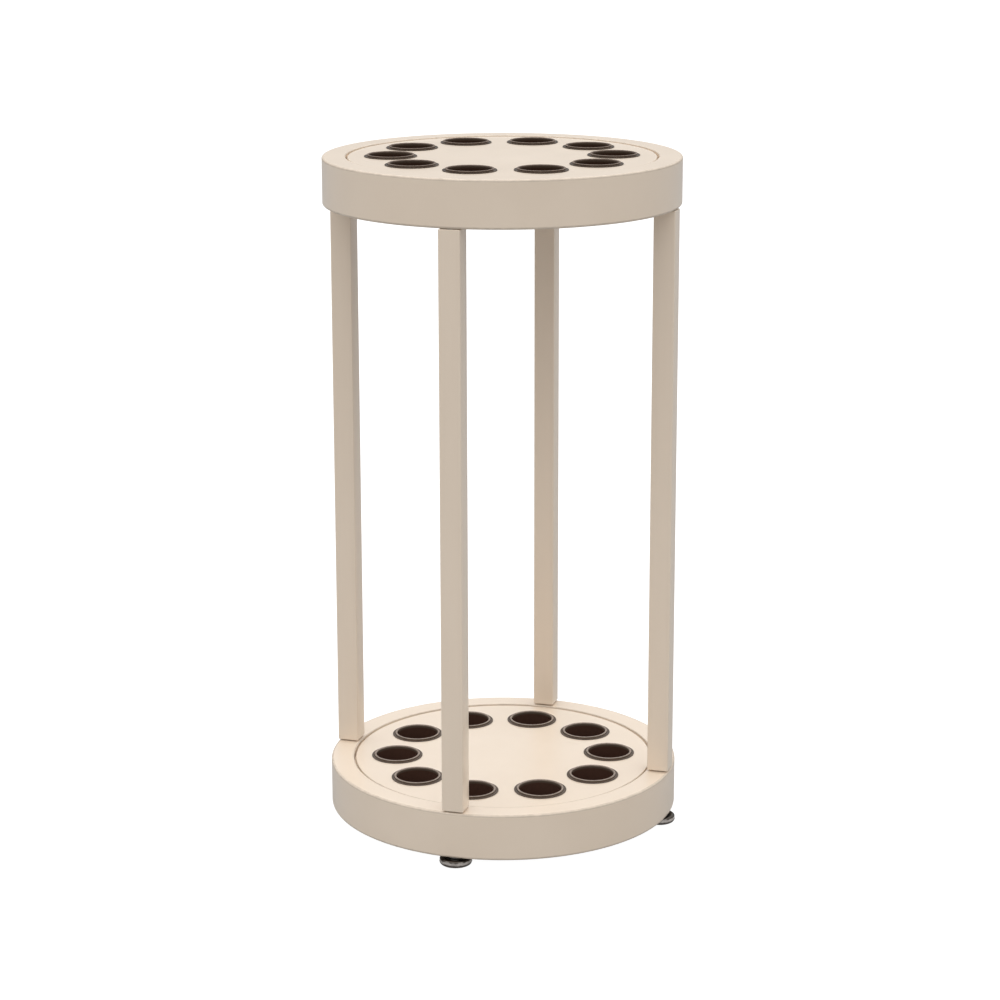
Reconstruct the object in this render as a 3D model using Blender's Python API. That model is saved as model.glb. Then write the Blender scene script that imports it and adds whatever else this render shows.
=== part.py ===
"""Umbrella stand: two lacquered discs held apart by four square posts.

Each disc is a rim with a panel let into it. Ten holes in the top disc guide the umbrellas and
ten drip cups in the base disc take their tips. Tie rods inside the posts clamp the discs
together, and four levelling feet screw into the same nuts from below.

The origin is on the floor, under the centre of the discs. +Z is up, the front post stands on
-Y and one hole of each disc is in line with it.
"""
import math

import bmesh
import bpy

MM = 0.001

# Driving dimensions
OUTER_RADIUS = 190 * MM
DISC_HEIGHT = 50 * MM
POST_LENGTH = 616.3 * MM
FOOT_HEIGHT = 11.7 * MM
POST_SIDE = 23 * MM
HOLE_COUNT = 10
HOLE_CIRCLE_RADIUS = 117.5 * MM
CLEAR_RADIUS = 22.5 * MM
LIP_RADIUS = 28 * MM
GAP = 0.3 * MM  # left between pieces that touch

# Rim and panel
RIM_CHAMFER = 1.5 * MM
RIM_INNER_RADIUS = 165 * MM
RIM_INNER_CHAMFER = 0.5 * MM
SHELF_INNER_RADIUS = 150 * MM
SHELF_THICKNESS = 14 * MM
PANEL_RADIUS = 164.5 * MM
PANEL_FACE_RADIUS = 162.1 * MM  # the rest is rebated, which leaves a shadow gap inside the rim
PANEL_THICKNESS = 18 * MM
PANEL_RECESS = 1.1 * MM
PANEL_TOP = DISC_HEIGHT - PANEL_RECESS
REBATE_DEPTH = 1.6 * MM
SHELF_TOP = PANEL_TOP - PANEL_THICKNESS - GAP
SHELF_BOTTOM = SHELF_TOP - SHELF_THICKNESS
PANEL_HOLE_RADIUS = 24.9 * MM

# Sleeves and drip cups
LINER_RADIUS = 24.2 * MM
LIP_HEIGHT = 2.5 * MM
LIP_CROWN_RADIUS = 23.9 * MM
SLEEVE_DEPTH = 24 * MM
SLEEVE_CATCH_RADIUS = 25.4 * MM
CUP_DEPTH = 38 * MM
CUP_FLOOR = 2 * MM
CUP_TAPER = 0.8 * MM

# Posts and what clamps them
POST_WALL = 1.5 * MM
POST_CORNER_RADIUS = 1 * MM
HALF_SIDE = POST_SIDE / 2
# The outer corners of a post are flush with the rim's edge.
POST_CIRCLE_RADIUS = math.sqrt(OUTER_RADIUS**2 - HALF_SIDE**2) - HALF_SIDE
ROD_RADIUS = 3.7 * MM
ROD_HOLE_RADIUS = 4.3 * MM
THREAD_RADIUS = 4 * MM
NUT_RADIUS = 6.5 * MM
NUT_HOLE_RADIUS = 7 * MM
NUT_LENGTH = 30 * MM
NUT_FLANGE_RADIUS = 9 * MM
NUT_FLANGE_THICKNESS = 1.5 * MM
ROD_START = 18 * MM  # above the base disc's underside
ROD_REACH = 26 * MM  # into the top disc

# Panel screws
SCREW_CIRCLE_RADIUS = 157.5 * MM
SCREW_RADIUS = 1.9 * MM
SCREW_HOLE_RADIUS = 2.2 * MM
SCREW_GRIP = 11 * MM  # length of thread in the panel
SCREW_HEAD_RADIUS = 4 * MM
SCREW_HEAD_HEIGHT = 2.4 * MM

# Levelling feet, measured down from the base disc's underside
STUD_TOP = 16 * MM
HEX_CORNER_RADIUS = 7.5 * MM
HEX_TOP = -NUT_FLANGE_THICKNESS - 2 * GAP
HEX_BOTTOM = HEX_TOP - 2.5 * MM
STUD_NECK_RADIUS = 3.4 * MM
STUD_HEAD_RADIUS = 4.8 * MM
STUD_HEAD_TOP = -6.9 * MM
STUD_HEAD_BOTTOM = -9.5 * MM
PAD_RADIUS = 17.1 * MM
PAD_FLOOR_RADIUS = 9.5 * MM
PAD_TOP = -2.3 * MM
PAD_WELL_RADIUS = 8.3 * MM  # room for the hexagon and a spanner
PAD_WELL_FLOOR = HEX_BOTTOM - GAP
PAD_SOCKET_RADIUS = 5.2 * MM
PAD_THROAT_RADIUS = 3.8 * MM

# Facets of round pieces
RIM_SEGMENTS = 64
LINER_SEGMENTS = 20
PAD_SEGMENTS = 20
NUT_SEGMENTS = 16
ROD_SEGMENTS = 12
SCREW_SEGMENTS = 8

BASE_Z = FOOT_HEIGHT
POST_Z = BASE_Z + DISC_HEIGHT
TOP_Z = POST_Z + POST_LENGTH

SIDE_ANGLES = {
    "front": math.radians(270),
    "right": math.radians(0),
    "back": math.radians(90),
    "left": math.radians(180),
}


def clear_scene():
    for old in list(bpy.data.objects):
        bpy.data.objects.remove(old, do_unlink=True)


def make_material(name, colour, roughness, metallic=0.0):
    material = bpy.data.materials.new(name)
    material.use_nodes = True
    shader = material.node_tree.nodes["Principled BSDF"]
    shader.inputs["Base Color"].default_value = (*colour, 1.0)
    shader.inputs["Roughness"].default_value = roughness
    shader.inputs["Metallic"].default_value = metallic
    return material


def make_materials():
    return {
        "lacquer": make_material("cream_lacquer", (0.70, 0.60, 0.49), 0.45),
        "post_paint": make_material("cream_post_paint", (0.70, 0.60, 0.49), 0.45),
        "liner": make_material("dark_brown_liner", (0.035, 0.018, 0.012), 0.3),
        "zinc": make_material("zinc_plated_steel", (0.55, 0.55, 0.53), 0.35, 1.0),
        "black_nickel": make_material("black_nickel", (0.10, 0.09, 0.085), 0.12, 1.0),
    }


def on_circle(radius, angle, z=0.0):
    return (radius * math.cos(angle), radius * math.sin(angle), z)


def hole_angles():
    """Angles of the holes in either disc: evenly spaced, the first one in line with the front post."""
    return [SIDE_ANGLES["front"] + math.tau * index / HOLE_COUNT for index in range(HOLE_COUNT)]


def screw_angles():
    """Angles of the panel screws, halfway between the posts."""
    return [math.radians(45 + 90 * index) for index in range(4)]


def hexagon_radius(corner_radius, angle):
    """Distance from the centre of a hexagon to its edge, with a corner at angle 0."""
    to_flat = (angle % math.radians(60)) - math.radians(30)
    return corner_radius * math.cos(math.radians(30)) / math.cos(to_flat)


def add_section(bm, radius, z, segments, centre=(0.0, 0.0), hexagonal=False):
    """One cross-section of a turned shape, as a loop of vertices."""
    loop = []
    for index in range(segments):
        angle = math.tau * index / segments
        reach = hexagon_radius(radius, angle) if hexagonal else radius
        x, y, _ = on_circle(reach, angle)
        loop.append(bm.verts.new((centre[0] + x, centre[1] + y, z)))
    return loop


def join_sections(bm, first, second):
    count = len(first)
    for index in range(count):
        after = (index + 1) % count
        bm.faces.new((first[index], first[after], second[after], second[index]))


def turn(bm, profile, segments, hollow=False, centre=(0.0, 0.0), hexagonal=()):
    """Turns a profile of (radius, z) points about the Z axis.

    A hollow profile is a closed outline beside the axis. Otherwise the first and last sections
    are closed with flat caps. hexagonal holds the indices of sections that are hexagons.
    """
    sections = [
        add_section(bm, radius, z, segments, centre, index in hexagonal)
        for index, (radius, z) in enumerate(profile)
    ]
    for first, second in zip(sections, sections[1:]):
        join_sections(bm, first, second)
    if hollow:
        join_sections(bm, sections[-1], sections[0])
    else:
        bm.faces.new(sections[0])
        bm.faces.new(sections[-1])


def finish_mesh(bm, name, smooth=True):
    """Closes off a bmesh: faces point out, and round sides are shaded smooth."""
    bmesh.ops.recalc_face_normals(bm, faces=bm.faces)
    mesh = bpy.data.meshes.new(name)
    bm.to_mesh(mesh)
    bm.free()
    if smooth:
        mesh.shade_smooth()
        mesh.set_sharp_from_angle(angle=math.radians(30))
    return mesh


def turned_mesh(name, profile, segments, hollow=False, hexagonal=()):
    bm = bmesh.new()
    turn(bm, profile, segments, hollow, hexagonal=hexagonal)
    return finish_mesh(bm, name)


def place(name, mesh, material, parent, location=(0.0, 0.0, 0.0)):
    piece = bpy.data.objects.new(name, mesh)
    if not mesh.materials:
        mesh.materials.append(material)
    piece.parent = parent
    piece.location = location
    bpy.context.collection.objects.link(piece)
    return piece


def make_empty(name, z, parent=None):
    empty = bpy.data.objects.new(name, None)
    empty.location = (0.0, 0.0, z)
    empty.parent = parent
    bpy.context.collection.objects.link(empty)
    return empty


def drill(piece, parent, label, profile, segments, centres):
    """Cuts the same turned hole into a piece at each centre."""
    bm = bmesh.new()
    for x, y, _ in centres:
        turn(bm, profile, segments, centre=(x, y))
    cutter = bpy.data.objects.new(f"{piece.name}_{label}_cutter", finish_mesh(bm, label, smooth=False))
    cutter.parent = parent
    cutter.hide_render = True
    cutter.display_type = "WIRE"
    bpy.context.collection.objects.link(cutter)
    cut = piece.modifiers.new(label, "BOOLEAN")
    cut.operation = "DIFFERENCE"
    cut.solver = "EXACT"
    cut.object = cutter


def build_rim(name, material, parent, post_hole_profile):
    """The outer band of a disc, with a shelf inside it that carries the panel."""
    profile = [
        (OUTER_RADIUS - RIM_CHAMFER, DISC_HEIGHT),
        (OUTER_RADIUS, DISC_HEIGHT - RIM_CHAMFER),
        (OUTER_RADIUS, RIM_CHAMFER),
        (OUTER_RADIUS - RIM_CHAMFER, 0.0),
        (RIM_INNER_RADIUS, 0.0),
        (RIM_INNER_RADIUS, SHELF_BOTTOM),
        (SHELF_INNER_RADIUS, SHELF_BOTTOM),
        (SHELF_INNER_RADIUS, SHELF_TOP),
        (RIM_INNER_RADIUS, SHELF_TOP),
        (RIM_INNER_RADIUS, DISC_HEIGHT - RIM_INNER_CHAMFER),
        (RIM_INNER_RADIUS + RIM_INNER_CHAMFER, DISC_HEIGHT),
    ]
    rim = place(name, turned_mesh(name, profile, RIM_SEGMENTS, hollow=True), material, parent)
    post_centres = [on_circle(POST_CIRCLE_RADIUS, angle) for angle in SIDE_ANGLES.values()]
    drill(rim, parent, "post_holes", post_hole_profile, NUT_SEGMENTS, post_centres)
    screw_hole = [
        (SCREW_HOLE_RADIUS, SHELF_BOTTOM - 1 * MM),
        (SCREW_HOLE_RADIUS, SHELF_TOP + 1 * MM),
    ]
    screw_centres = [on_circle(SCREW_CIRCLE_RADIUS, angle) for angle in screw_angles()]
    drill(rim, parent, "screw_holes", screw_hole, SCREW_SEGMENTS, screw_centres)


def build_panel(name, material, parent):
    """The inset panel of a disc, with ten holes and blind holes for its screws."""
    underside = PANEL_TOP - PANEL_THICKNESS
    profile = [
        (PANEL_FACE_RADIUS, PANEL_TOP),
        (PANEL_FACE_RADIUS, PANEL_TOP - REBATE_DEPTH),
        (PANEL_RADIUS, PANEL_TOP - REBATE_DEPTH),
        (PANEL_RADIUS, underside),
    ]
    panel = place(name, turned_mesh(name, profile, RIM_SEGMENTS), material, parent)
    liner_hole = [
        (PANEL_HOLE_RADIUS, underside - 1 * MM),
        (PANEL_HOLE_RADIUS, PANEL_TOP + 1 * MM),
    ]
    hole_centres = [on_circle(HOLE_CIRCLE_RADIUS, angle) for angle in hole_angles()]
    drill(panel, parent, "liner_holes", liner_hole, LINER_SEGMENTS, hole_centres)
    pilot_hole = [
        (SCREW_HOLE_RADIUS, underside - 1 * MM),
        (SCREW_HOLE_RADIUS, underside + SCREW_GRIP + 1 * MM),
    ]
    screw_centres = [on_circle(SCREW_CIRCLE_RADIUS, angle) for angle in screw_angles()]
    drill(panel, parent, "pilot_holes", pilot_hole, SCREW_SEGMENTS, screw_centres)


def build_panel_screws(prefix, material, parent):
    """Pan-head screws that go up through the shelf into the panel."""
    tip = PANEL_TOP - PANEL_THICKNESS + SCREW_GRIP
    head_top = SHELF_BOTTOM - GAP
    profile = [
        (SCREW_RADIUS * 0.4, tip),
        (SCREW_RADIUS, tip - 3 * MM),
        (SCREW_RADIUS, head_top),
        (SCREW_HEAD_RADIUS, head_top),
        (SCREW_HEAD_RADIUS * 0.7, head_top - SCREW_HEAD_HEIGHT),
    ]
    mesh = turned_mesh(f"{prefix}_panel_screw", profile, SCREW_SEGMENTS)
    for number, angle in enumerate(screw_angles(), start=1):
        name = f"{prefix}_panel_screw_{number}"
        place(name, mesh, material, parent, on_circle(SCREW_CIRCLE_RADIUS, angle))


def lip_profile():
    """The lip round a hole: it slopes up from its outer foot to a crown close to the mouth."""
    shoulder = LIP_HEIGHT * 0.4
    return [
        (LIP_RADIUS, GAP),
        (LIP_RADIUS, shoulder),
        (LIP_CROWN_RADIUS, LIP_HEIGHT),
        (CLEAR_RADIUS, shoulder),
    ]


def build_top_sleeves(material, parent):
    """Open sleeves that line the top holes and snap behind the panel."""
    catch_top = -PANEL_THICKNESS - GAP
    profile = lip_profile() + [
        (CLEAR_RADIUS, -SLEEVE_DEPTH),
        (LINER_RADIUS - 0.6 * MM, -SLEEVE_DEPTH),
        (SLEEVE_CATCH_RADIUS, catch_top),
        (LINER_RADIUS, catch_top),
        (LINER_RADIUS, GAP),
    ]
    mesh = turned_mesh("top_sleeve", profile, LINER_SEGMENTS, hollow=True)
    for number, angle in enumerate(hole_angles(), start=1):
        location = on_circle(HOLE_CIRCLE_RADIUS, angle, PANEL_TOP)
        place(f"top_sleeve_{number:02d}", mesh, material, parent, location)


def build_drip_cups(material, parent):
    """Closed cups that hang in the base holes by their lips and lift out to be emptied."""
    inner_floor_radius = CLEAR_RADIUS - CUP_TAPER
    outer_floor_radius = LINER_RADIUS - CUP_TAPER
    profile = [(inner_floor_radius, CUP_FLOOR - CUP_DEPTH)]
    profile += reversed(lip_profile())
    profile += [(LINER_RADIUS, GAP), (outer_floor_radius, -CUP_DEPTH)]
    mesh = turned_mesh("drip_cup", profile, LINER_SEGMENTS)
    for number, angle in enumerate(hole_angles(), start=1):
        location = on_circle(HOLE_CIRCLE_RADIUS, angle, PANEL_TOP)
        place(f"drip_cup_{number:02d}", mesh, material, parent, location)


def square_loop(bm, half_side, corner_radius, z):
    """A square with rounded corners, three points to a corner."""
    loop = []
    straight = half_side - corner_radius
    for index in range(12):
        corner, step = divmod(index, 3)
        angle = math.radians(90 * corner + 45 * step)
        middle = math.radians(90 * corner + 45)
        x = math.copysign(straight, math.cos(middle)) + corner_radius * math.cos(angle)
        y = math.copysign(straight, math.sin(middle)) + corner_radius * math.sin(angle)
        loop.append(bm.verts.new((x, y, z)))
    return loop


def build_posts(material, parent):
    """Square steel tubes between the discs."""
    bm = bmesh.new()
    inner_half = HALF_SIDE - POST_WALL
    inner_corner = POST_CORNER_RADIUS / 2
    low = GAP
    high = POST_LENGTH - GAP
    loops = [
        square_loop(bm, HALF_SIDE, POST_CORNER_RADIUS, low),
        square_loop(bm, HALF_SIDE, POST_CORNER_RADIUS, high),
        square_loop(bm, inner_half, inner_corner, high),
        square_loop(bm, inner_half, inner_corner, low),
    ]
    for index, loop in enumerate(loops):
        join_sections(bm, loop, loops[(index + 1) % len(loops)])
    mesh = finish_mesh(bm, "post")
    for side, angle in SIDE_ANGLES.items():
        place(f"post_{side}", mesh, material, parent, on_circle(POST_CIRCLE_RADIUS, angle))


def flanged_nut_profile():
    """A threaded sleeve that goes up into a disc from below, with its flange underneath."""
    flange_bottom = -GAP - NUT_FLANGE_THICKNESS
    return [
        (THREAD_RADIUS, NUT_LENGTH),
        (NUT_RADIUS, NUT_LENGTH),
        (NUT_RADIUS, -GAP),
        (NUT_FLANGE_RADIUS, -GAP),
        (NUT_FLANGE_RADIUS, flange_bottom),
        (THREAD_RADIUS, flange_bottom),
    ]


def build_flanged_nuts(prefix, material, parent):
    mesh = turned_mesh(prefix, flanged_nut_profile(), NUT_SEGMENTS, hollow=True)
    for side, angle in SIDE_ANGLES.items():
        place(f"{prefix}_{side}", mesh, material, parent, on_circle(POST_CIRCLE_RADIUS, angle))


def build_tie_rods(material, parent):
    """Threaded rods from the base nuts up through the posts into the top nuts."""
    low = ROD_START
    high = DISC_HEIGHT + POST_LENGTH + ROD_REACH
    chamfer = 0.8 * MM
    profile = [
        (ROD_RADIUS - chamfer, low),
        (ROD_RADIUS, low + chamfer),
        (ROD_RADIUS, high - chamfer),
        (ROD_RADIUS - chamfer, high),
    ]
    mesh = turned_mesh("tie_rod", profile, ROD_SEGMENTS)
    for side, angle in SIDE_ANGLES.items():
        place(f"tie_rod_{side}", mesh, material, parent, on_circle(POST_CIRCLE_RADIUS, angle))


def build_foot_studs(material, parent):
    """Threaded studs with a hexagon for a spanner and a head that turns in the pad."""
    chamfer = 0.8 * MM
    profile = [
        (ROD_RADIUS - chamfer, STUD_TOP),
        (ROD_RADIUS, STUD_TOP - chamfer),
        (ROD_RADIUS, HEX_TOP),
        (HEX_CORNER_RADIUS, HEX_TOP),
        (HEX_CORNER_RADIUS, HEX_BOTTOM),
        (STUD_NECK_RADIUS, HEX_BOTTOM),
        (STUD_NECK_RADIUS, STUD_HEAD_TOP),
        (STUD_HEAD_RADIUS, STUD_HEAD_TOP),
        (STUD_HEAD_RADIUS, STUD_HEAD_BOTTOM),
    ]
    mesh = turned_mesh("foot_stud", profile, ROD_SEGMENTS, hexagonal=(3, 4))
    for side, angle in SIDE_ANGLES.items():
        place(f"foot_stud_{side}", mesh, material, parent, on_circle(POST_CIRCLE_RADIUS, angle))


def build_foot_pads(material, parent):
    """Domed pads, each with a socket that holds the head of its stud."""
    socket_top = STUD_HEAD_TOP + GAP
    socket_floor = STUD_HEAD_BOTTOM - GAP
    profile = [
        (PAD_SOCKET_RADIUS, socket_floor),
        (PAD_SOCKET_RADIUS, socket_top),
        (PAD_THROAT_RADIUS, socket_top),
        (PAD_THROAT_RADIUS, PAD_WELL_FLOOR),
        (PAD_WELL_RADIUS, PAD_WELL_FLOOR),
        (PAD_WELL_RADIUS, PAD_TOP),
        (PAD_RADIUS * 0.84, PAD_TOP),
        (PAD_RADIUS * 0.93, PAD_TOP - 1.1 * MM),
        (PAD_RADIUS * 0.985, PAD_TOP - 2.6 * MM),
        (PAD_RADIUS, PAD_TOP - 4.4 * MM),
        (PAD_RADIUS * 0.94, PAD_TOP - 6.7 * MM),
        (PAD_RADIUS * 0.76, PAD_TOP - 8.7 * MM),
        (PAD_FLOOR_RADIUS, -FOOT_HEIGHT),
    ]
    mesh = turned_mesh("foot_pad", profile, PAD_SEGMENTS)
    for side, angle in SIDE_ANGLES.items():
        place(f"foot_pad_{side}", mesh, material, parent, on_circle(POST_CIRCLE_RADIUS, angle))


def build_base_disc(materials, parent):
    """The lower disc, its nuts and its feet. Its holes for the tie rods go right through."""
    unit = make_empty("base_disc_frame", BASE_Z, parent)
    stepped_hole = [
        (NUT_HOLE_RADIUS, -1 * MM),
        (NUT_HOLE_RADIUS, NUT_LENGTH + GAP),
        (ROD_HOLE_RADIUS, NUT_LENGTH + GAP),
        (ROD_HOLE_RADIUS, DISC_HEIGHT + 1 * MM),
    ]
    build_rim("base_rim", materials["lacquer"], unit, stepped_hole)
    build_panel("base_panel", materials["lacquer"], unit)
    build_panel_screws("base", materials["zinc"], unit)
    build_drip_cups(materials["liner"], unit)
    build_flanged_nuts("base_nut", materials["zinc"], unit)
    build_tie_rods(materials["zinc"], unit)
    build_foot_studs(materials["zinc"], unit)
    build_foot_pads(materials["black_nickel"], unit)


def build_top_disc(materials, parent):
    """The upper disc. Its holes for the nuts are blind, so nothing shows from above."""
    unit = make_empty("top_disc_frame", TOP_Z, parent)
    blind_hole = [(NUT_HOLE_RADIUS, -1 * MM), (NUT_HOLE_RADIUS, NUT_LENGTH + GAP)]
    build_rim("top_rim", materials["lacquer"], unit, blind_hole)
    build_panel("top_panel", materials["lacquer"], unit)
    build_panel_screws("top", materials["zinc"], unit)
    build_top_sleeves(materials["liner"], unit)
    build_flanged_nuts("top_nut", materials["zinc"], unit)


def build_stand():
    clear_scene()
    materials = make_materials()
    stand = make_empty("umbrella_stand", 0.0)
    build_base_disc(materials, stand)
    build_posts(materials["post_paint"], make_empty("post_frame", POST_Z, stand))
    build_top_disc(materials, stand)


build_stand()
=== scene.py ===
"""Looks of the umbrella stand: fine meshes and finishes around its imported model. Metres, +Z up."""
import math

import bmesh
import bpy
from mathutils import Matrix, Vector


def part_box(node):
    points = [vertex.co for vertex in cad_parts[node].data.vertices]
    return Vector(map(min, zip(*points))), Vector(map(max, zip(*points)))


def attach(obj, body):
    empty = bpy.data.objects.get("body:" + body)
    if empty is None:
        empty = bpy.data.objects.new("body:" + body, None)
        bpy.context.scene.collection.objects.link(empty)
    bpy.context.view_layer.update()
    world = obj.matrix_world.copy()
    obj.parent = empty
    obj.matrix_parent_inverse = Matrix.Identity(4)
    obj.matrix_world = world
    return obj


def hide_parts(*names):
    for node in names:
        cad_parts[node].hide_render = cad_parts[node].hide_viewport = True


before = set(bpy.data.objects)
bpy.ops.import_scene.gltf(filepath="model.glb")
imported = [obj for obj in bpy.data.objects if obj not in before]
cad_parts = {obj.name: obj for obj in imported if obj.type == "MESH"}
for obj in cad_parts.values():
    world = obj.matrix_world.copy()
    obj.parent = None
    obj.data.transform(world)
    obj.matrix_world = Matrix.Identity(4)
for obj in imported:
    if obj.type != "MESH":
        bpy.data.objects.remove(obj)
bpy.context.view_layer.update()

MM = 0.001
SIDES = ("front", "right", "back", "left")
HOLES = range(1, 11)
SCREWS = range(1, 5)

# Smoothness of the fine meshes
RIM_SEGMENTS = 288
LINER_SEGMENTS = 96
HARDWARE_SEGMENTS = 48
SCREW_HOLE_SEGMENTS = 24
ARC_STEPS = 6
POST_CORNER_STEPS = 4
DOME_STEPS = 10
THREAD_ROWS_PER_TURN = 10
SUPPORT_DISTANCE = 0.35  # of a rounding's radius, from the rounding to the flat beside it
SHARP_ANGLE = math.radians(35)
POST_SHARP_ANGLE = math.radians(30)
STUD_SHARP_ANGLE = math.radians(28)

# Rims and panels
# The roundings take the darker edge tone: partly wear, partly painted shade along the rim edges and the
# groove.
RIM_EDGE_RADIUS = 2.0 * MM
RIM_INNER_EDGE_RADIUS = 1.1 * MM
SMALL_EDGE_RADIUS = 0.5 * MM
CAP_RADIUS = 20 * MM  # of the flat cap in the middle of a panel's mesh
SHELF_INNER_RADIUS = 150 * MM
SHELF_THICKNESS = 14 * MM
PANEL_CLEARANCE = 0.5 * MM  # all round, inside the rim
PANEL_EDGE_RADIUS = 0.7 * MM
REBATE_WIDTH = 1.4 * MM
REBATE_DEPTH = 4.0 * MM
LINER_HOLE_RADIUS = 24.9 * MM
GAP = 0.3 * MM  # between pieces that would touch

# Fastener holes
OVERSHOOT = 1 * MM  # of a cutter past the faces that it cuts
NUT_HOLE_RADIUS = 7 * MM
NUT_HOLE_DEPTH = 30.3 * MM
ROD_HOLE_RADIUS = 4.3 * MM
SCREW_HOLE_RADIUS = 2.2 * MM

# Posts
POST_CORNER_RADIUS = 1.0 * MM
POST_END_CORNER_RADIUS = 0.6 * MM
POST_NECK_CORNER_RADIUS = 0.5 * MM
POST_END_CHAMFER = 0.6 * MM
POST_NECK_INSET = 3.0 * MM
FOOT_NECK_LENGTH = 1.0 * MM
HEAD_NECK_LENGTH = 0.4 * MM
POST_WALL = 3.5 * MM

# Sleeves and cups
LIP_CROWN_RADIUS = 23.2 * MM
LIP_CROWN_WIDTH = 1.8 * MM
LIP_FLANGE_HEIGHT = 1.0 * MM
LIP_END = -2 * MM  # level on the plain bore where the lip's outline ends
LINER_WALL = 1.7 * MM
LINER_BEVEL = 0.3 * MM  # width of the bevel under the lip
LINER_SHANK_TOP = 0.1 * MM  # level where that bevel meets the shank
SLEEVE_CLEARANCE = 0.5 * MM
SLEEVE_MOUTH_CHAMFER = 0.6 * MM
CATCH_REACH = 0.9 * MM
CATCH_THICKNESS = 0.4 * MM
SLEEVE_LEAD_IN = 0.8 * MM
CUP_CLEARANCE = 0.7 * MM
CUP_FLOOR = 2 * MM
CUP_TAPER = 0.8 * MM
CUP_INNER_ROUNDING = 3 * MM
CUP_OUTER_ROUNDING = 1.5 * MM
CUP_CAP_RADIUS = 4 * MM  # of the flat cap in the middle of the floor's mesh

# Feet
PAD_WAIST_HEIGHT = 4.0 * MM
PAD_BELT_HEIGHT = 7.6 * MM
PAD_SHOULDER = 0.82  # of the pad's radius, like the belt and the keel
PAD_BELT = 0.995
PAD_KEEL = 0.96
PAD_SOLE_RADIUS = 9.5 * MM
PAD_FLOOR = 1.9 * MM
PAD_WELL_RADIUS = 8.3 * MM
PAD_WELL_DEPTH = 2.6 * MM
PAD_THROAT_RADIUS = 3.8 * MM
PAD_THROAT_LENGTH = 1.7 * MM
PAD_SOCKET_RADIUS = 5.2 * MM

# Hardware
THREAD_PITCH = 1.25 * MM
THREAD_DEPTH = 0.55 * MM
THREAD_END_TAPER = 0.5  # extra depth for each unit of height over the last turn
THREAD_RELIEF = 0.3 * MM  # plain neck under the thread
STUD_RADIUS = 3.7 * MM
STUD_NECK_RADIUS = 3.4 * MM
STUD_HEAD_RADIUS = 4.8 * MM
STUD_HEAD_HEIGHT = 2.6 * MM
STUD_CLEARANCE = 0.3 * MM
STUD_CHAMFER = 0.5 * MM
SECTION_STEP = 0.01 * MM  # height over which a cross-section changes abruptly
NUT_RADIUS = 6.5 * MM
NUT_BORE_RADIUS = 4 * MM
NUT_FLANGE_THICKNESS = 1.5 * MM
SCREW_RADIUS = 1.9 * MM
SCREW_HEAD_HEIGHT = 2.4 * MM
SCREW_HEAD_FLAT = 0.3  # of the head's radius
SCREW_CAP_RADIUS = 0.02 * MM  # of the cap in the middle of the head's mesh
SCREW_TIP_LENGTH = 3 * MM
SCREW_TIP = 0.4  # of the screw's radius
SCREW_CROSS_WIDTH = 4.4 * MM
SCREW_CROSS_SLOT = 0.9 * MM
SCREW_CROSS_DEPTH = 1.5 * MM
SCREW_CROSS_TAPER = 0.45  # width at the floor of the recess, as a share of that at its mouth

# Colours
CREAM = (0.82, 0.69, 0.555)
CREAM_SHADE = (0.78, 0.65, 0.515)
POST_SHADE = (0.79, 0.66, 0.525)
# Edge tone of the lacquer: partly wear, partly painted shade on edges, groove lines and post necks.
WORN_AND_SHADED_CREAM = (0.58, 0.49, 0.395)
SLEEVE_BROWN = (0.054, 0.036, 0.025)
# Painted highlight on the crowns of the sleeve lips.
SLEEVE_CROWN_HIGHLIGHT = (0.23, 0.17, 0.135)
SLEEVE_BORE = (0.038, 0.019, 0.012)
CUP_BROWN = (0.082, 0.059, 0.044)
# Painted highlight on the crowns of the cup lips.
CUP_CROWN_HIGHLIGHT = (0.34, 0.275, 0.23)
CUP_BORE = (0.072, 0.036, 0.025)
WHITE = (1.0, 1.0, 1.0, 1.0)


# ---------------------------------------------------------------- outlines and meshes

def round_corners(corners):
    """Rounds the corners of an outline.

    Each corner is (r, z, radius). The result is a list of (r, z, edge), where edge is 1 on a
    rounding and 0 on the straight stretches. A support point stands beside each end of an arc,
    so that the flat next to it shades flat.
    """
    points = []
    count = len(corners)
    for index, (r, z, radius) in enumerate(corners):
        here = Vector((r, z))
        if radius == 0:
            points.append((r, z, 0.0))
            continue
        back = (Vector(corners[index - 1][:2]) - here).normalized()
        ahead = (Vector(corners[(index + 1) % count][:2]) - here).normalized()
        half = back.angle(ahead) / 2
        reach = radius / math.tan(half)
        centre = here + (back + ahead).normalized() * (radius / math.sin(half))
        support = SUPPORT_DISTANCE * radius
        points.append((*(here + back * (reach + support)), 0.0))
        start = here + back * reach - centre
        end = here + ahead * reach - centre
        first = math.atan2(start.y, start.x)
        sweep = (math.atan2(end.y, end.x) - first + math.pi) % math.tau - math.pi
        for step in range(ARC_STEPS + 1):
            angle = first + sweep * step / ARC_STEPS
            spot = centre + radius * Vector((math.cos(angle), math.sin(angle)))
            points.append((*spot, 1.0))
        points.append((*(here + ahead * (reach + support)), 0.0))
    return points


def shade(mesh, sharp_angle=SHARP_ANGLE):
    """Shades a mesh smooth, with sharp edges where its faces meet at more than the angle."""
    mesh.shade_smooth()
    mesh.set_sharp_from_angle(angle=sharp_angle)


def finish_mesh(bm, name, sharp_angle=SHARP_ANGLE):
    """Turns a bmesh into a shaded mesh with its faces pointing out."""
    bmesh.ops.recalc_face_normals(bm, faces=bm.faces)
    mesh = bpy.data.meshes.new(name)
    bm.to_mesh(mesh)
    bm.free()
    shade(mesh, sharp_angle)
    return mesh


def edge_layer(bm):
    """The attribute that marks edges for the finishes: on the lacquer a darker, duller tone that is
    partly wear and partly painted shade; on the liners' crowns a painted highlight.
    """
    return bm.verts.layers.float.get("edge") or bm.verts.layers.float.new("edge")


def join_loops(bm, first, second):
    """Fills the band between two loops of equal length."""
    count = len(first)
    for index in range(count):
        after = (index + 1) % count
        bm.faces.new((first[index], first[after], second[after], second[index]))


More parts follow.
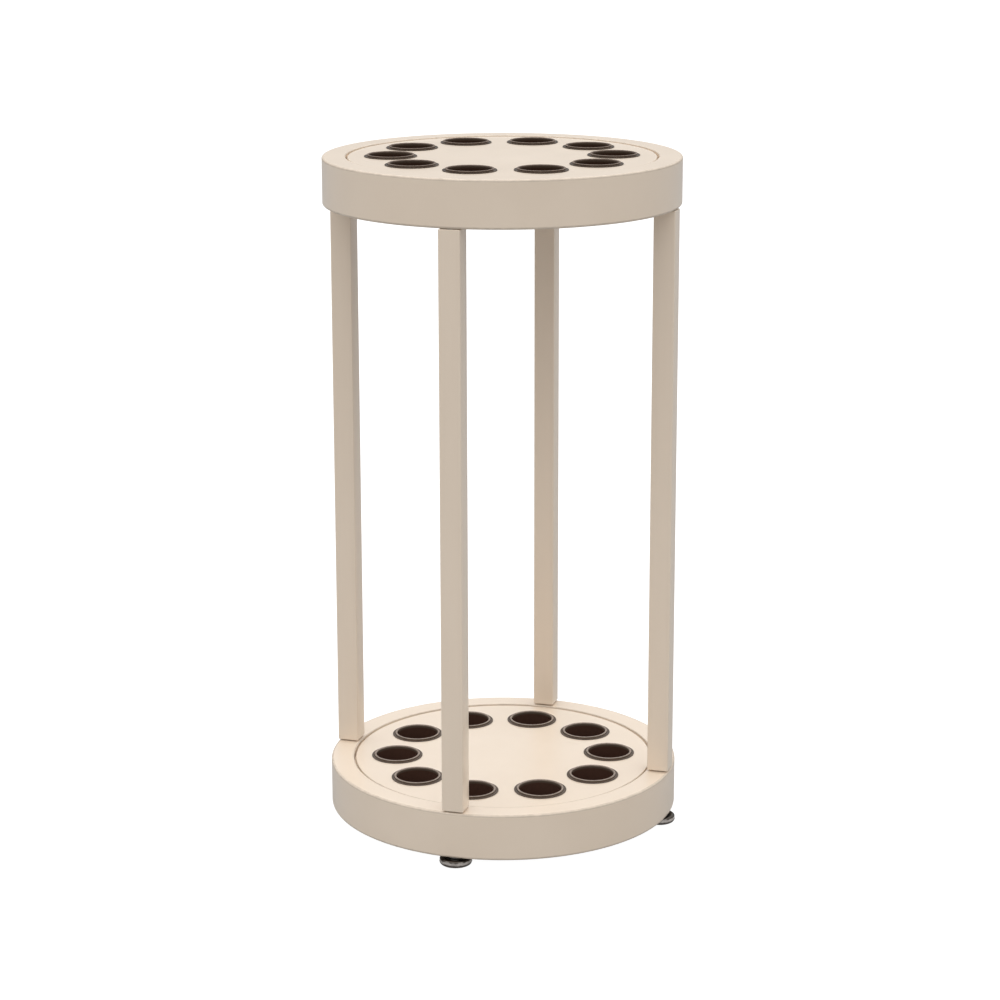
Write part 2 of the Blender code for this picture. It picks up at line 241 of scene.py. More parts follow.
def turn(bm, outline, segments, hollow, centre=(0.0, 0.0)):
    """Turns an outline of (r, z, edge) points about a vertical axis.

    A hollow outline closes on itself beside the axis. Any other one has flat end caps.
    """
    layer = edge_layer(bm)
    loops = []
    for r, z, edge in outline:
        loop = []
        for index in range(segments):
            angle = math.tau * index / segments
            vert = bm.verts.new((centre[0] + r * math.cos(angle), centre[1] + r * math.sin(angle), z))
            vert[layer] = edge
            loop.append(vert)
        loops.append(loop)
    for first, second in zip(loops, loops[1:]):
        join_loops(bm, first, second)
    if hollow:
        join_loops(bm, loops[-1], loops[0])
    else:
        bm.faces.new(loops[0])
        bm.faces.new(loops[-1])


def turned_mesh(name, outline, segments, hollow=False):
    """A mesh of one turned outline."""
    bm = bmesh.new()
    turn(bm, outline, segments, hollow)
    return finish_mesh(bm, name)


def cut(mesh, cutter_bm):
    """Takes a cutter away from a mesh and gives back the result."""
    body = bpy.data.objects.new("cut_body", mesh)
    cutter = bpy.data.objects.new("cut_tool", finish_mesh(cutter_bm, "cut_tool"))
    for piece in (body, cutter):
        bpy.context.scene.collection.objects.link(piece)
    boolean = body.modifiers.new("cut", "BOOLEAN")
    boolean.operation = "DIFFERENCE"
    boolean.solver = "EXACT"
    boolean.object = cutter
    depsgraph = bpy.context.evaluated_depsgraph_get()
    result = bpy.data.meshes.new_from_object(body.evaluated_get(depsgraph))
    result.name = mesh.name
    for piece in (body, cutter):
        bpy.data.objects.remove(piece)
    shade(result)
    return result


def straight_hole(radius, bottom, top):
    """The outline of a plain round hole."""
    return [(radius, bottom, 0), (radius, top, 0)]


def drill(mesh, outline, segments, nodes):
    """Cuts one turned hole on the axis of each node."""
    bm = bmesh.new()
    for node in nodes:
        turn(bm, outline, segments, hollow=False, centre=axis_of(node))
    return cut(mesh, bm)


def place(name, mesh, node, body, material, location=(0.0, 0.0, 0.0)):
    """Puts a fine piece in the place of a CAD node."""
    piece = bpy.data.objects.new(name, mesh)
    if not mesh.materials:
        mesh.materials.append(material)
    piece.location = location
    bpy.context.scene.collection.objects.link(piece)
    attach(piece, body)
    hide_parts(node)


def place_copies(nodes, mesh, material, z=0.0, body=None):
    """Puts one fine mesh on the axis of each node. With no body given, each rides its own."""
    for node in nodes:
        x, y = axis_of(node)
        place(f"{node}_fine", mesh, node, body or node, material, (x, y, z))


# ---------------------------------------------------------------- names and sizes in the frame

def at_sides(name):
    """The nodes of a sub-part that stands at each of the four posts."""
    return [f"{name}_{side}" for side in SIDES]


def at_holes(name):
    """The nodes of a sub-part that sits in each of a panel's ten holes."""
    return [f"{name}_{number:02d}" for number in HOLES]


def panel_screws(unit):
    return [f"{unit}_panel_screw_{number}" for number in SCREWS]


def radius_of(node):
    low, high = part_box(node)
    return (high.x - low.x) / 2


def axis_of(node):
    low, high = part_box(node)
    return ((low.x + high.x) / 2, (low.y + high.y) / 2)


# ---------------------------------------------------------------- materials

def add_node(tree, kind, inputs=(), **settings):
    """Adds a node with its settings. Each input is a plain value or another node's output."""
    node = tree.nodes.new(kind)
    for key, value in settings.items():
        setattr(node, key, value)
    for socket, value in dict(inputs).items():
        if isinstance(value, bpy.types.NodeSocket):
            tree.links.new(value, node.inputs[socket])
        else:
            node.inputs[socket].default_value = value
    return node


def opaque(colour):
    """A plain colour with full alpha. Another node's output stays as it is."""
    return colour if isinstance(colour, bpy.types.NodeSocket) else (*colour, 1.0)


class Recipe:
    """A material's node tree, with short calls to add nodes and wire them."""

    def __init__(self, name):
        self.material = bpy.data.materials.new(name)
        self.material.use_nodes = True
        self.tree = self.material.node_tree
        self.shader = self.tree.nodes["Principled BSDF"]
        self.place = self.add("ShaderNodeTexCoord").outputs["Object"]

    def add(self, kind, inputs=(), **settings):
        return add_node(self.tree, kind, inputs, **settings)

    def noise(self, scale, detail=2.0, stretch=(1.0, 1.0, 1.0), roughness=0.5):
        """Noise from 0 to 1. The scale is in waves per metre."""
        spread = self.add("ShaderNodeMapping", {"Vector": self.place, "Scale": stretch})
        inputs = {
            "Vector": spread.outputs["Vector"],
            "Scale": scale,
            "Detail": detail,
            "Roughness": roughness,
        }
        return self.add("ShaderNodeTexNoise", inputs).outputs["Fac"]

    def remap(self, value, low, high, start=0.3, end=0.7):
        inputs = {"Value": value, "From Min": start, "From Max": end, "To Min": low, "To Max": high}
        return self.add("ShaderNodeMapRange", inputs).outputs["Result"]

    def mix(self, factor, first, second):
        """Blends two colours."""
        inputs = {0: factor, 6: opaque(first), 7: opaque(second)}
        return self.add("ShaderNodeMix", inputs, data_type="RGBA").outputs[2]

    def blend(self, factor, first, second):
        """Blends two plain values."""
        return self.add("ShaderNodeMix", {0: factor, 2: first, 3: second}).outputs[0]

    def multiply(self, first, second):
        return self.add("ShaderNodeMath", {0: first, 1: second}, operation="MULTIPLY").outputs[0]

    def edge_mark(self):
        """1 on the marked edges, 0 elsewhere: wear and painted shade on the lacquer, a painted highlight
        on the liners' crowns.
        """
        return self.add("ShaderNodeAttribute", attribute_name="edge").outputs["Fac"]

    def height(self):
        """Height in the piece's own space, in metres."""
        return self.add("ShaderNodeSeparateXYZ", {"Vector": self.place}).outputs["Z"]

    def bump(self, height, distance, strength=1.0, normal=None):
        inputs = {"Height": height, "Distance": distance, "Strength": strength}
        if normal is not None:
            inputs["Normal"] = normal
        return self.add("ShaderNodeBump", inputs).outputs["Normal"]

    def connect(self, socket, value):
        self.tree.links.new(value, self.shader.inputs[socket])

    def fix(self, **constants):
        for socket, value in constants.items():
            self.shader.inputs[socket.replace("_", " ")].default_value = value


def make_lacquer(name, tint, deeper, worn_and_shaded, stretch):
    """Satin cream lacquer: a faint orange peel, a drifting tone, and edges, groove lines and post necks
    in a darker, duller tone that is partly wear and partly painted shade.
    """
    recipe = Recipe(name)
    cloud = recipe.remap(recipe.noise(9, detail=3, stretch=stretch), 0, 1)
    speck = recipe.remap(recipe.noise(650, detail=2), 0, 1, start=0.62, end=0.78)
    colour = recipe.mix(cloud, tint, deeper)
    colour = recipe.mix(recipe.remap(speck, 0, 0.35, 0, 1), colour, deeper)
    # The edge tone is partly wear and partly painted shade: it darkens rounded edges, groove lines and
    # post necks.
    wear_and_shade_noise = recipe.noise(140, detail=3)
    tone_mask = recipe.multiply(recipe.edge_mark(), recipe.remap(wear_and_shade_noise, 0.5, 1))
    recipe.connect("Base Color", recipe.mix(tone_mask, colour, worn_and_shaded))
    recipe.connect("Coat Weight", recipe.remap(tone_mask, 1, 0.1, 0, 1))
    satin = recipe.remap(recipe.noise(35, detail=4), 0.42, 0.52)
    recipe.connect("Roughness", recipe.blend(recipe.multiply(tone_mask, 0.5), satin, 0.6))
    peel = recipe.bump(recipe.noise(380, detail=1), 0.05 * MM, 0.5)
    grain = recipe.bump(recipe.noise(2600, detail=1), 0.01 * MM, 0.5, peel)
    recipe.connect("Normal", grain)
    recipe.fix(Coat_IOR=1.6, Coat_Roughness=0.28)
    return recipe.material


def make_liner_plastic(name, lip_tone, crown_highlight_tone, bore_tone):
    """Dark brown moulded plastic: a lip whose crown carries a pale painted highlight, and a darker bore.
    """
    recipe = Recipe(name)
    lip = recipe.remap(recipe.height(), 0, 1, -1.5 * MM, 0.3 * MM)
    cloud = recipe.remap(recipe.noise(60, detail=3), 0, 1)
    outer = recipe.mix(cloud, lip_tone, [1.2 * part for part in lip_tone])
    # The pale crown tone is a painted highlight, broken up by noise.
    highlight_noise = recipe.remap(recipe.noise(420, detail=4, stretch=(1, 1, 0.3)), 0.55, 1)
    crown = recipe.multiply(recipe.edge_mark(), highlight_noise)
    outer = recipe.mix(crown, outer, crown_highlight_tone)
    bore = recipe.mix(cloud, bore_tone, [0.85 * part for part in bore_tone])
    recipe.connect("Base Color", recipe.mix(lip, bore, outer))
    recipe.connect("Roughness", recipe.remap(recipe.noise(180, detail=3), 0.16, 0.26))
    recipe.connect("Normal", recipe.bump(recipe.noise(900, detail=1), 0.01 * MM, 0.4))
    recipe.fix(Specular_IOR_Level=0.12)
    return recipe.material


def make_black_nickel():
    """Black nickel whose colour paints its reflections: a painted dark reflection on top, a painted
    bright reflection of the floor on the belt, and painted shade near the floor.
    """
    recipe = Recipe("black_nickel")
    drift = recipe.remap(recipe.noise(130, detail=3), -0.8 * MM, 0.8 * MM)
    level = recipe.add("ShaderNodeMath", {0: recipe.height(), 1: drift}, operation="ADD").outputs[0]
    # Below this band the darker colour is painted shade near the floor.
    above_floor_shade = recipe.remap(level, 0, 1, 4.2 * MM, 5.6 * MM)
    # Above this band the dark colour is a painted dark reflection of the disc's underside.
    tone_mask = recipe.remap(level, 1, 0, 7.2 * MM, 8.4 * MM)
    cloud = recipe.remap(recipe.noise(150, detail=3), 0, 1)
    # The mottled pale belt colour is a painted reflection of the bright floor.
    belt_reflection = recipe.mix(cloud, (0.94, 0.88, 0.83), (0.52, 0.48, 0.45))
    belt = recipe.mix(tone_mask, (0.060, 0.050, 0.042), belt_reflection)
    recipe.connect("Base Color", recipe.mix(above_floor_shade, (0.16, 0.135, 0.12), belt))
    scratches = recipe.remap(recipe.noise(240, detail=4), 0.05, 0.12)
    recipe.connect("Roughness", recipe.blend(above_floor_shade, 0.3, scratches))
    marks = recipe.noise(900, detail=1, stretch=(0.15, 0.15, 4))
    recipe.connect("Normal", recipe.bump(marks, 0.01 * MM, 0.3))
    recipe.fix(Metallic=1.0)
    return recipe.material


def make_zinc():
    """Bright zinc plating with a mottled, slightly yellowed passivation."""
    recipe = Recipe("zinc_plating")
    cloud = recipe.remap(recipe.noise(160, detail=4), 0, 1)
    recipe.connect("Base Color", recipe.mix(cloud, (0.62, 0.61, 0.57), (0.47, 0.47, 0.46)))
    recipe.connect("Roughness", recipe.remap(recipe.noise(500, detail=3), 0.24, 0.42))
    recipe.connect("Normal", recipe.bump(recipe.noise(1800, detail=2), 0.01 * MM, 0.5))
    recipe.fix(Metallic=1.0)
    return recipe.material


# ---------------------------------------------------------------- pieces

def build_rim(unit, material, nut_hole_through):
    """The rounded band of a disc, with its shelf and the holes for its fasteners."""
    node = f"{unit}_rim"
    low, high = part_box(node)
    panel_low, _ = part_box(f"{unit}_panel")
    outer = radius_of(node)
    inner = radius_of(f"{unit}_panel") + PANEL_CLEARANCE
    shelf_top = panel_low.z - GAP
    shelf_bottom = shelf_top - SHELF_THICKNESS
    corners = [
        (outer, high.z, RIM_EDGE_RADIUS),
        (outer, low.z, RIM_EDGE_RADIUS),
        (inner, low.z, RIM_INNER_EDGE_RADIUS),
        (inner, shelf_bottom, 0),
        (SHELF_INNER_RADIUS, shelf_bottom, SMALL_EDGE_RADIUS),
        (SHELF_INNER_RADIUS, shelf_top, SMALL_EDGE_RADIUS),
        (inner, shelf_top, 0),
        (inner, high.z, RIM_INNER_EDGE_RADIUS),
    ]
    mesh = turned_mesh(node, round_corners(corners), RIM_SEGMENTS, hollow=True)
    hole = straight_hole(NUT_HOLE_RADIUS, low.z - OVERSHOOT, low.z + NUT_HOLE_DEPTH)
    if nut_hole_through:
        hole += straight_hole(ROD_HOLE_RADIUS, low.z + NUT_HOLE_DEPTH, high.z + OVERSHOOT)
    mesh = drill(mesh, hole, HARDWARE_SEGMENTS, at_sides("post"))
    hole = straight_hole(SCREW_HOLE_RADIUS, shelf_bottom - OVERSHOOT, shelf_top + OVERSHOOT)
    mesh = drill(mesh, hole, SCREW_HOLE_SEGMENTS, panel_screws(unit))
    place(f"{node}_fine", mesh, node, "stand", material)


def build_panel(unit, liner, material):
    """The inset panel of a disc with its ten holes."""
    node = f"{unit}_panel"
    low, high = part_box(node)
    radius = radius_of(node)
    corners = [
        (CAP_RADIUS, high.z, 0),
        (radius - REBATE_WIDTH, high.z, PANEL_EDGE_RADIUS),
        (radius - REBATE_WIDTH, high.z - REBATE_DEPTH, 0),
        (radius, high.z - REBATE_DEPTH, 0),
        (radius, low.z, SMALL_EDGE_RADIUS),
        (CAP_RADIUS, low.z, 0),
    ]
    mesh = turned_mesh(node, round_corners(corners), RIM_SEGMENTS)
    hole = straight_hole(LINER_HOLE_RADIUS, low.z - OVERSHOOT, high.z + OVERSHOOT)
    mesh = drill(mesh, hole, LINER_SEGMENTS, at_holes(liner))
    screw_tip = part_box(f"{unit}_panel_screw_1")[1].z
    hole = straight_hole(SCREW_HOLE_RADIUS, low.z - OVERSHOOT, screw_tip + OVERSHOOT)
    mesh = drill(mesh, hole, SCREW_HOLE_SEGMENTS, panel_screws(unit))
    place(f"{node}_fine", mesh, node, "stand", material)


def square_loop(bm, half, corner_radius, z, edge):
    """One square with rounded corners."""
    layer = edge_layer(bm)
    loop = []
    straight = half - corner_radius
    for corner in range(4):
        middle = math.radians(90 * corner + 45)
        x = math.copysign(straight, math.cos(middle))
        y = math.copysign(straight, math.sin(middle))
        for step in range(POST_CORNER_STEPS + 1):
            angle = math.radians(90 * corner + 90 / POST_CORNER_STEPS * step)
            spot = (x + corner_radius * math.cos(angle), y + corner_radius * math.sin(angle), z)
            vert = bm.verts.new(spot)
            vert[layer] = edge
            loop.append(vert)
    return loop


def build_posts(material):
    """Square tubes with softened corners. Their chamfered ends stand on smaller necks."""
    low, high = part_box("post_front")
    half = (high.x - low.x) / 2
    bore = half - POST_WALL
    neck = half - POST_NECK_INSET
    end = half - POST_END_CHAMFER
    foot = low.z + FOOT_NECK_LENGTH
    head = high.z - HEAD_NECK_LENGTH
    levels = [
        (bore, POST_NECK_CORNER_RADIUS, low.z),
        (neck, POST_NECK_CORNER_RADIUS, low.z),
        (neck, POST_NECK_CORNER_RADIUS, foot),
        (end, POST_END_CORNER_RADIUS, foot),
        (half, POST_CORNER_RADIUS, foot + POST_END_CHAMFER),
        (half, POST_CORNER_RADIUS, head - POST_END_CHAMFER),
        (end, POST_END_CORNER_RADIUS, head),
        (neck, POST_NECK_CORNER_RADIUS, head),
        (neck, POST_NECK_CORNER_RADIUS, high.z),
        (bore, POST_NECK_CORNER_RADIUS, high.z),
    ]
    bm = bmesh.new()
    # The necks take the darker edge tone: painted shade in the seam where a post meets a disc.
    loops = [square_loop(bm, size, corner, z, float(size < end)) for size, corner, z in levels]
    for index, loop in enumerate(loops):
        join_loops(bm, loop, loops[(index + 1) % len(loops)])
    mesh = finish_mesh(bm, "post", POST_SHARP_ANGLE)
    place_copies(at_sides("post"), mesh, material, body="stand")


def lip_outline(lip_radius, clear_radius, height):
    """The lip: a flat flange, a raised bead with a narrow crown, and the slope into the mouth.

    Only the crown counts as an edge, so only the crown takes the painted highlight.
    """
    bead_radius = LIP_CROWN_RADIUS + LIP_CROWN_WIDTH
    corners = [
        (lip_radius, GAP, 0),
        (lip_radius, LIP_FLANGE_HEIGHT * 0.8, 0.25 * MM),
        (bead_radius + 0.2 * MM, LIP_FLANGE_HEIGHT, 0.3 * MM),
        (bead_radius, height, 0.4 * MM),
        (LIP_CROWN_RADIUS, height, 0.3 * MM),
        (clear_radius, height * 0.4, 0.6 * MM),
        (clear_radius, LIP_END, 0),
    ]
    # Above this level the crown takes the painted highlight.
    painted_highlight_from = height * 0.85
    return [(r, z, float(z > painted_highlight_from)) for r, z, _ in round_corners(corners)]


def build_top_sleeves(material):
    """Open sleeves, each with a rounded lip and a snap catch behind the panel."""
    low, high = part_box("top_sleeve_01")
    panel_low, panel_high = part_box("top_panel")
    body_radius = LINER_HOLE_RADIUS - SLEEVE_CLEARANCE
    clear = body_radius - LINER_WALL
    bottom = low.z - panel_high.z
    catch = panel_low.z - panel_high.z - GAP
    outline = lip_outline(radius_of("top_sleeve_01"), clear, high.z - panel_high.z)
    outline += [
        (clear, bottom + SLEEVE_MOUTH_CHAMFER, 0.0),
        (clear + SLEEVE_MOUTH_CHAMFER, bottom, 0.0),
        (body_radius - SLEEVE_LEAD_IN, bottom, 0.0),
        (body_radius + CATCH_REACH, catch - CATCH_THICKNESS, 0.0),
        (body_radius + CATCH_REACH, catch, 0.0),
        (body_radius, catch, 0.0),
        (body_radius, LINER_SHANK_TOP, 0.0),
        (body_radius + LINER_BEVEL, GAP, 0.0),
    ]
    mesh = turned_mesh("top_sleeve", outline, LINER_SEGMENTS, hollow=True)
    place_copies(at_holes("top_sleeve"), mesh, material, panel_high.z, "stand")


def build_drip_cups(material):
    """Closed cups with the same lip, a slight taper and a rounded floor."""
    low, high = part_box("drip_cup_01")
    panel_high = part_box("base_panel")[1]
    body_radius = LINER_HOLE_RADIUS - CUP_CLEARANCE
    clear = body_radius - LINER_WALL
    bottom = low.z - panel_high.z
    floor = bottom + CUP_FLOOR
    lip = lip_outline(radius_of("drip_cup_01"), clear, high.z - panel_high.z)
    inside = [
        (clear, LIP_END, 0),
        (clear - CUP_TAPER, floor, CUP_INNER_ROUNDING),
        (CUP_CAP_RADIUS, floor, 0),
    ]
    outside = [
        (body_radius, LINER_SHANK_TOP, 0),
        (body_radius - CUP_TAPER, bottom, CUP_OUTER_ROUNDING),
        (CUP_CAP_RADIUS, bottom, 0),
    ]
    outline = list(reversed(round_corners(inside)[1:])) + list(reversed(lip))
    outline += [(body_radius + LINER_BEVEL, GAP, 0.0)] + round_corners(outside)
    mesh = turned_mesh("drip_cup", outline, LINER_SEGMENTS)
    place_copies(at_holes("drip_cup"), mesh, material, panel_high.z)


def dome(rim, crown):
    """Points on a quarter of an ellipse, from its steep rim to its flat crown."""
    width = rim[0] - crown[0]
    height = crown[1] - rim[1]
    angles = [math.pi / 2 * step / DOME_STEPS for step in range(DOME_STEPS + 1)]
    return [(crown[0] + width * math.cos(a), rim[1] + height * math.sin(a), 0.0) for a in angles]


def build_foot_pads(material):
    """Domed pads with a belt above a rounded keel, a well for the hexagon and a socket for the stud."""
    low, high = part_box("foot_pad_front")
    radius = radius_of("foot_pad_front")
    waist = low.z + PAD_WAIST_HEIGHT
    belt = (radius * PAD_BELT, low.z + PAD_BELT_HEIGHT)
    shoulder = (radius * PAD_SHOULDER, high.z)
    well_floor = high.z - PAD_WELL_DEPTH
    socket_top = well_floor - PAD_THROAT_LENGTH
    inside = [
        (PAD_SOCKET_RADIUS, low.z + PAD_FLOOR, 0),
        (PAD_SOCKET_RADIUS, socket_top, 0),
        (PAD_THROAT_RADIUS, socket_top, 0),
        (PAD_THROAT_RADIUS, well_floor, 0.3 * MM),
        (PAD_WELL_RADIUS, well_floor, 0),
        (PAD_WELL_RADIUS, high.z, 0.5 * MM),
        (*shoulder, 0),
    ]
    keel = [
        (radius, waist, 0),
        (radius * PAD_KEEL, waist * 0.55, 3 * MM),
        (PAD_SOLE_RADIUS, low.z, 0),
    ]
    outline = round_corners(inside)[:-1] + list(reversed(dome(belt, shoulder))) + round_corners(keel)
    mesh = turned_mesh("foot_pad", outline, LINER_SEGMENTS)
    place_copies(at_sides("foot_pad"), mesh, material)


def add_sections(bm, sections, segments):
    """Skins over cross-sections given as (z, reach), where reach(angle) is the radius there."""
    loops = []
    for z, reach in sections:
        angles = [math.tau * index / segments for index in range(segments)]
        spots = [(reach(angle) * math.cos(angle), reach(angle) * math.sin(angle), z) for angle in angles]
        loops.append([bm.verts.new(spot) for spot in spots])
    for first, second in zip(loops, loops[1:]):
        join_loops(bm, first, second)
    bm.faces.new(loops[0])
    bm.faces.new(loops[-1])


def plain(radius):
    """A circle."""
    return lambda angle: radius


def thread(radius, turns, depth):
    """One level of a right-hand thread, so many turns up from height zero."""

    def reach(angle):
        wave = abs((turns - angle / math.tau) % 1.0 - 0.5) * 2
        return radius - depth * wave

    return reach


def thread_sections(bottom, top, radius):
    """Cross-sections of a thread, from its bottom up. It deepens over the last turn at the top."""
    rows = round((top - bottom) / THREAD_PITCH * THREAD_ROWS_PER_TURN)
    sections = []
    for row in range(rows + 1):
        z = bottom + (top - bottom) * row / rows
        depth = THREAD_DEPTH + max(0.0, z - (top - THREAD_PITCH)) * THREAD_END_TAPER
        sections.append((z, thread(radius, z / THREAD_PITCH, depth)))
    return sections


def hexagon(corner_radius, round_radius):
    """A hexagon whose corners are turned down to a circle."""

    def reach(angle):
        to_flat = (angle % math.radians(60)) - math.radians(30)
        return min(round_radius, corner_radius * math.cos(math.radians(30)) / math.cos(to_flat))

    return reach


def build_foot_studs(material):
    """Threaded studs with a chamfered hexagon, a neck and a head that turns in the pad."""
    low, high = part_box("foot_stud_front")
    corner = (high.x - low.x) / 2
    hex_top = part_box("base_nut_front")[0].z - STUD_CLEARANCE
    hex_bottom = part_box("foot_pad_front")[1].z - PAD_WELL_DEPTH + STUD_CLEARANCE
    head_top = low.z + STUD_HEAD_HEIGHT
    flat = corner * math.cos(math.radians(30))
    sections = [
        (low.z, plain(STUD_HEAD_RADIUS - STUD_CHAMFER)),
        (low.z + STUD_CHAMFER, plain(STUD_HEAD_RADIUS)),
        (head_top - STUD_CHAMFER, plain(STUD_HEAD_RADIUS)),
        (head_top, plain(STUD_HEAD_RADIUS - STUD_CHAMFER)),
        (head_top + SECTION_STEP, plain(STUD_NECK_RADIUS)),
        (hex_bottom - SECTION_STEP, plain(STUD_NECK_RADIUS)),
        (hex_bottom, hexagon(corner, flat)),
        (hex_bottom + STUD_CHAMFER, hexagon(corner, corner)),
        (hex_top - STUD_CHAMFER, hexagon(corner, corner)),
        (hex_top, hexagon(corner, flat)),
        (hex_top + SECTION_STEP, plain(STUD_RADIUS - THREAD_DEPTH)),
    ]
    sections += thread_sections(hex_top + THREAD_RELIEF, high.z, STUD_RADIUS)
    bm = bmesh.new()
    add_sections(bm, sections, HARDWARE_SEGMENTS)
    mesh = finish_mesh(bm, "foot_stud", STUD_SHARP_ANGLE)
    place_copies(at_sides("foot_stud"), mesh, material)


def build_base_nuts(material):
    """Flanged sleeves pressed into the base, with softened edges."""
    low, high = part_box("base_nut_front")
    flange = radius_of("base_nut_front")
    flange_top = low.z + NUT_FLANGE_THICKNESS
    corners = [
        (NUT_BORE_RADIUS, high.z, 0.3 * MM),
        (NUT_RADIUS, high.z, 0.5 * MM),
        (NUT_RADIUS, flange_top, 0),
        (flange, flange_top, 0.3 * MM),
        (flange, low.z, 0.5 * MM),
        (NUT_BORE_RADIUS, low.z, 0.3 * MM),
    ]
    mesh = turned_mesh("base_nut", round_corners(corners), HARDWARE_SEGMENTS, hollow=True)
    place_copies(at_sides("base_nut"), mesh, material, body="stand")


def cross_cutter(bottom):
    """Two tapered bars that press a cross recess up into a screw head."""
    bm = bmesh.new()
    y = SCREW_CROSS_SLOT / 2
    levels = ((bottom - 0.2 * MM, 1.0), (bottom + SCREW_CROSS_DEPTH, SCREW_CROSS_TAPER))
    for across in (False, True):
        loops = []
        for z, shrink in levels:
            x = SCREW_CROSS_WIDTH / 2 * shrink
            corners = [(-x, -y), (x, -y), (x, y), (-x, y)]
            loops.append([bm.verts.new((b, a, z) if across else (a, b, z)) for a, b in corners])
        join_loops(bm, *loops)
        bm.faces.new(loops[0])
        bm.faces.new(loops[1])
    return bm


def build_panel_screws(unit, material):
    """Pan-head screws with a cross recess, a plain shank and a tapered tip."""
    low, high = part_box(f"{unit}_panel_screw_1")
    head_radius = radius_of(f"{unit}_panel_screw_1")
    head_top = low.z + SCREW_HEAD_HEIGHT
    pan = dome((head_radius, head_top), (SCREW_HEAD_FLAT * head_radius, low.z))
    outline = [
        (SCREW_CAP_RADIUS, low.z, 0.0),
        *reversed(pan),
        (SCREW_RADIUS, head_top, 0.0),
        (SCREW_RADIUS, high.z - SCREW_TIP_LENGTH, 0.0),
        (SCREW_TIP * SCREW_RADIUS, high.z, 0.0),
    ]
    screw = turned_mesh(f"{unit}_panel_screw", outline, HARDWARE_SEGMENTS)
    mesh = cut(screw, cross_cutter(low.z))
    place_copies(panel_screws(unit), mesh, material, body="stand")


def dress_hidden_hardware(zinc):
    """The tie rods and top nuts, closed up inside the stand, keep their CAD shape."""
    for name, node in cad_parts.items():
        if name.startswith(("tie_rod", "top_nut")):
            node.data.materials.clear()
            node.data.materials.append(zinc)


# ---------------------------------------------------------------- setting

CAMERA_DISTANCE = 2.829
CAMERA_HEIGHT = 1.0985
CAMERA_AZIMUTH = math.radians(16.32)
CAMERA_TILT = math.radians(13.577)
CAMERA_ROLL = -0.0015
CAMERA_LENS = 97.0
CAMERA_SHIFT = (-0.0027, -0.0566)

FRONT_LIGHT_POWER = 0.18
FRONT_LIGHT_SPREAD = math.radians(50)
FRONT_LIGHT_AZIMUTH = math.radians(6)
FRONT_LIGHT_ELEVATION = math.radians(20)
SKY_STRENGTH = 2.12
SKY_POWER = 1.05
FLOOR_REACH = 40.0
FLOOR_COLOUR = (0.2, 0.2, 0.2, 1.0)
FLOOR_GLOW = 0.97
FLOOR_GLOW_ON_STAND = 0.21


def add_camera():
    data = bpy.data.cameras.new("camera")
    data.sensor_width = 36
    data.lens = CAMERA_LENS
    data.shift_x, data.shift_y = CAMERA_SHIFT
    camera = bpy.data.objects.new("camera", data)
    bpy.context.scene.collection.objects.link(camera)
    spot = Vector((math.sin(CAMERA_AZIMUTH), -math.cos(CAMERA_AZIMUTH), 0)) * CAMERA_DISTANCE
    spot.z = CAMERA_HEIGHT
    turn_round = Matrix.Rotation(CAMERA_AZIMUTH, 4, "Z")
    tilt = Matrix.Rotation(math.pi / 2 - CAMERA_TILT, 4, "X")
    roll = Matrix.Rotation(CAMERA_ROLL, 4, "Z")
    camera.matrix_world = Matrix.Translation(spot) @ turn_round @ tilt @ roll
    bpy.context.scene.camera = camera


def add_soft_sky():
    """One huge softbox overhead: brightest straight up and dark at the horizon.

    The backdrop that the camera sees behind the floor is plain white.
    """
    world = bpy.data.worlds.new("studio")
    world.use_nodes = True
    tree = world.node_tree
    background = tree.nodes["Background"]
    background.inputs["Color"].default_value = WHITE
    direction = add_node(tree, "ShaderNodeTexCoord").outputs["Generated"]
    rise = add_node(tree, "ShaderNodeSeparateXYZ", {"Vector": direction}).outputs["Z"]
    upward = add_node(tree, "ShaderNodeClamp", {"Value": rise}).outputs["Result"]
    fall_off = add_node(tree, "ShaderNodeMath", {0: upward, 1: SKY_POWER}, operation="POWER")
    sky = {0: fall_off.outputs["Value"], 1: SKY_STRENGTH}
    light = add_node(tree, "ShaderNodeMath", sky, operation="MULTIPLY").outputs["Value"]
    seen = add_node(tree, "ShaderNodeLightPath").outputs["Is Camera Ray"]
    strength = add_node(tree, "ShaderNodeMix", {"Factor": seen, "A": light, "B": 1.0})
    tree.links.new(strength.outputs["Result"], background.inputs["Strength"])
    bpy.context.scene.world = world


def make_floor_finish():
    """A pale, softly glowing table top that is clear from underneath."""
    recipe = Recipe("pale_floor")
    recipe.fix(Base_Color=FLOOR_COLOUR, Emission_Color=WHITE, Roughness=0.8, Specular_IOR_Level=0.0)
    seen = recipe.add("ShaderNodeLightPath").outputs["Is Camera Ray"]
    recipe.connect("Emission Strength", recipe.remap(seen, FLOOR_GLOW_ON_STAND, FLOOR_GLOW, 0.0, 1.0))
    underneath = recipe.add("ShaderNodeNewGeometry").outputs["Backfacing"]
    clear = recipe.add("ShaderNodeBsdfTransparent").outputs["BSDF"]
    faces = {0: underneath, 1: recipe.shader.outputs["BSDF"], 2: clear}
    one_sided = recipe.add("ShaderNodeMixShader", faces).outputs["Shader"]
    recipe.tree.links.new(one_sided, recipe.tree.nodes["Material Output"].inputs["Surface"])
    return recipe.material


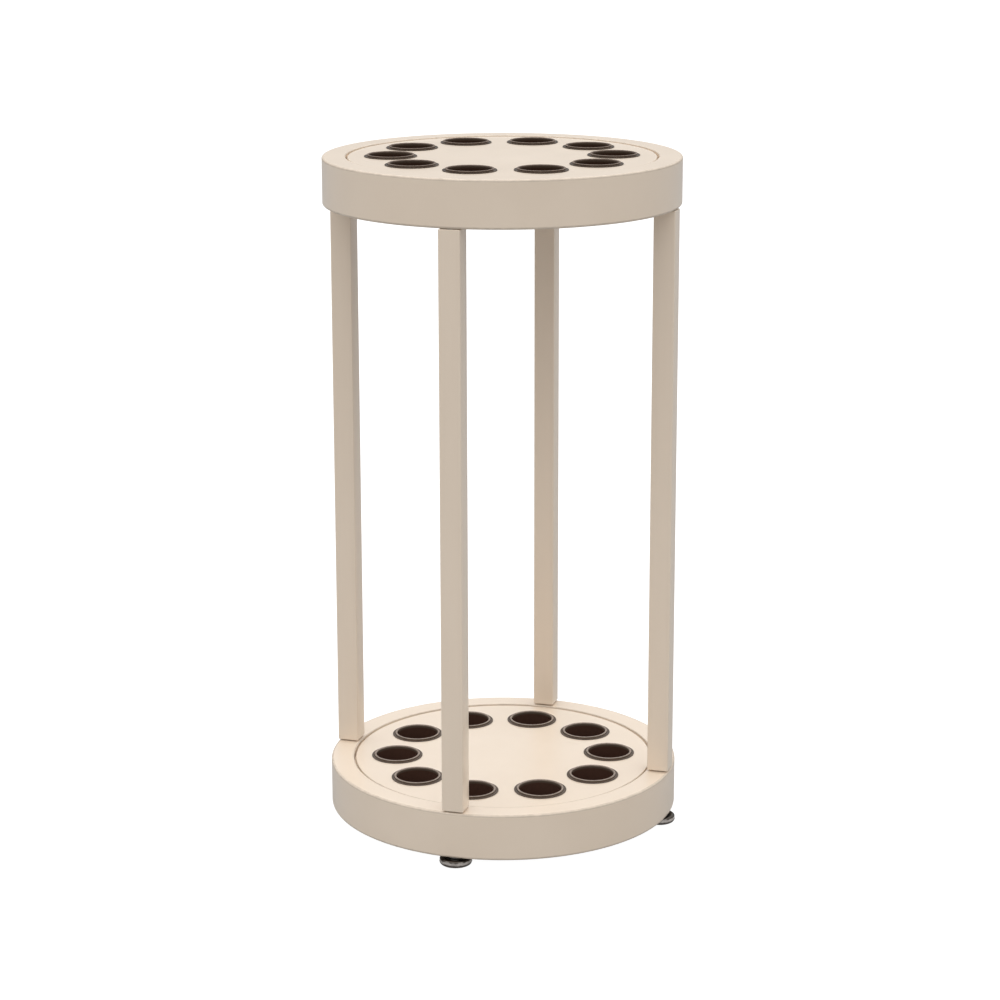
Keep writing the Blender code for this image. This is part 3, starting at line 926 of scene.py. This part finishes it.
def add_floor():
    """A wide square, level with the feet."""
    corners = [(x * FLOOR_REACH, y * FLOOR_REACH, 0) for x, y in ((-1, -1), (1, -1), (1, 1), (-1, 1))]
    mesh = bpy.data.meshes.new("floor")
    mesh.from_pydata(corners, [], [(0, 1, 2, 3)])
    mesh.materials.append(make_floor_finish())
    floor = bpy.data.objects.new("floor", mesh)
    bpy.context.scene.collection.objects.link(floor)


def add_front_softbox():
    """A weak and very wide softbox on the camera's side, far enough to light top and base alike."""
    data = bpy.data.lights.new("front_softbox", "SUN")
    data.energy = FRONT_LIGHT_POWER
    data.angle = FRONT_LIGHT_SPREAD
    light = bpy.data.objects.new("front_softbox", data)
    light.rotation_euler = (math.pi / 2 - FRONT_LIGHT_ELEVATION, 0.0, FRONT_LIGHT_AZIMUTH)
    bpy.context.scene.collection.objects.link(light)


def set_up_studio():
    add_soft_sky()
    add_front_softbox()
    add_floor()
    add_camera()
    bpy.context.scene.view_settings.view_transform = "Standard"


# ---------------------------------------------------------------- the whole stand

def build_stand():
    """Every piece in its finish."""
    lacquer = make_lacquer("cream_lacquer", CREAM, CREAM_SHADE, WORN_AND_SHADED_CREAM, (1, 1, 1))
    post_paint = make_lacquer("cream_post_paint", CREAM, POST_SHADE, WORN_AND_SHADED_CREAM, (4, 4, 0.5))
    sleeve_plastic = make_liner_plastic("sleeve_plastic", SLEEVE_BROWN, SLEEVE_CROWN_HIGHLIGHT, SLEEVE_BORE)
    cup_plastic = make_liner_plastic("cup_plastic", CUP_BROWN, CUP_CROWN_HIGHLIGHT, CUP_BORE)
    build_rim("base", lacquer, nut_hole_through=True)
    build_rim("top", lacquer, nut_hole_through=False)
    build_panel("base", "drip_cup", lacquer)
    build_panel("top", "top_sleeve", lacquer)
    build_posts(post_paint)
    build_top_sleeves(sleeve_plastic)
    build_drip_cups(cup_plastic)
    build_foot_pads(make_black_nickel())
    zinc = make_zinc()
    build_foot_studs(zinc)
    build_base_nuts(zinc)
    build_panel_screws("base", zinc)
    build_panel_screws("top", zinc)
    dress_hidden_hardware(zinc)


build_stand()
set_up_studio()
